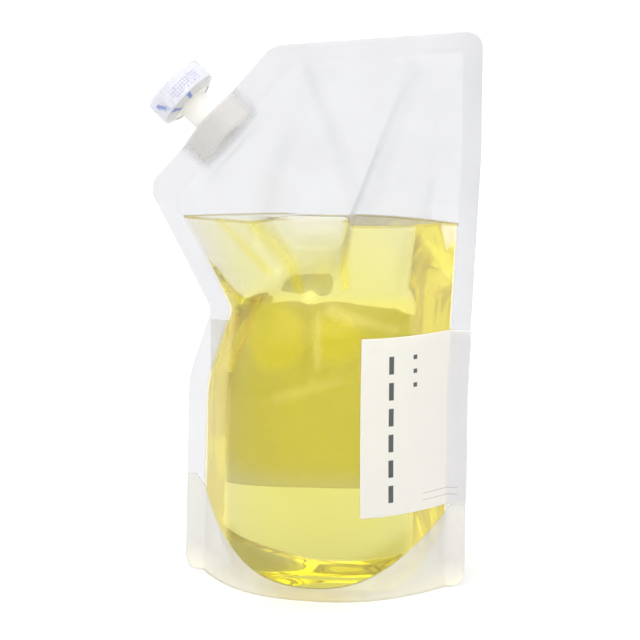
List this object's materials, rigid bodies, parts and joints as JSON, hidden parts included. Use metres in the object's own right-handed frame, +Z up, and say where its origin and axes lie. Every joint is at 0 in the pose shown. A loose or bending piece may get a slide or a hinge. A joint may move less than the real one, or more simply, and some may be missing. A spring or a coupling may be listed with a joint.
{
  "type": "kitchen cleaner refill pouch",
  "caption": "Standing refill pouch of clear frosted film with yellow cleaner, a wrapped cream label and a sleeved screw cap on a corner spout.",
  "frame": {"origin": "middle of the flat patch of the gusset that rests on the table, in the seal plane", "axes": "+Z up, front towards -Y, spout towards -X and up"},
  "size_m": [0.1692, 0.0887, 0.2812],
  "materials": {
    "pouch_film": "clear frosted laminate film, milky at the seals",
    "cleaner_liquid": "clear yellow liquid",
    "spout": "natural white moulded plastic",
    "cap": "white moulded plastic",
    "cap_liner": "soft foamed plastic disc",
    "cap_sleeve": "clear shrink film with blue print",
    "label": "matt cream paper label"
  },
  "bodies": {
    "pouch": {"pouch_film": "pouch_film", "cleaner_liquid": "cleaner_liquid", "spout": "spout", "label": "label"},
    "liner": {"cap_liner": "cap_liner"},
    "cap": {"cap": "cap", "cap_sleeve": "cap_sleeve"}
  },
  "joints": [
    {"name": "cap_lift", "type": "slide", "parent": "pouch", "child": "liner", "axis": [-0.7385, 0, 0.6743], "range_m": [0, 0.0092]},
    {"name": "cap_turn", "type": "hinge", "parent": "liner", "child": "cap", "pos_m": [-0.05784, 0, 0.23722], "axis": [-0.7385, 0, 0.6743], "range_deg": [0, 810]}
  ],
  "couplings": [
    {"joint": "cap_lift", "follows": "cap_turn", "m_per_rad": 0.00063662}
  ]
}
